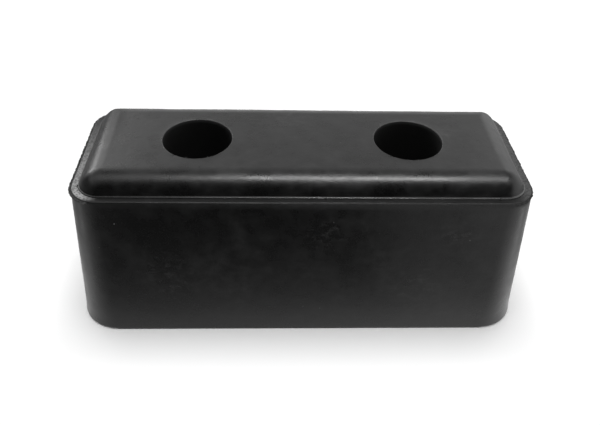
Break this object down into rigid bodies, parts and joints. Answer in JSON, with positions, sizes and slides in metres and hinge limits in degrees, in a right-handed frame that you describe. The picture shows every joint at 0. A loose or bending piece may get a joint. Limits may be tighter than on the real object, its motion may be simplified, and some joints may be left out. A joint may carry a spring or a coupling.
{
  "type": "rubber bumper",
  "caption": "Solid moulded rubber block with a sloping-sided, soft-edged crown on a narrow ledge and stepped bolt recesses through to a flat mounting face.",
  "frame": {"origin": "centre of the mounting face, which lies on Z = 0", "axes": "+X along the block, +Y across it, +Z from the mounting face to the buffer face"},
  "size_m": [0.25, 0.1, 0.096],
  "materials": {
    "black_rubber": "matte"
  },
  "bodies": {
    "root": {"bumper_block": "black_rubber"}
  },
  "joints": []
}
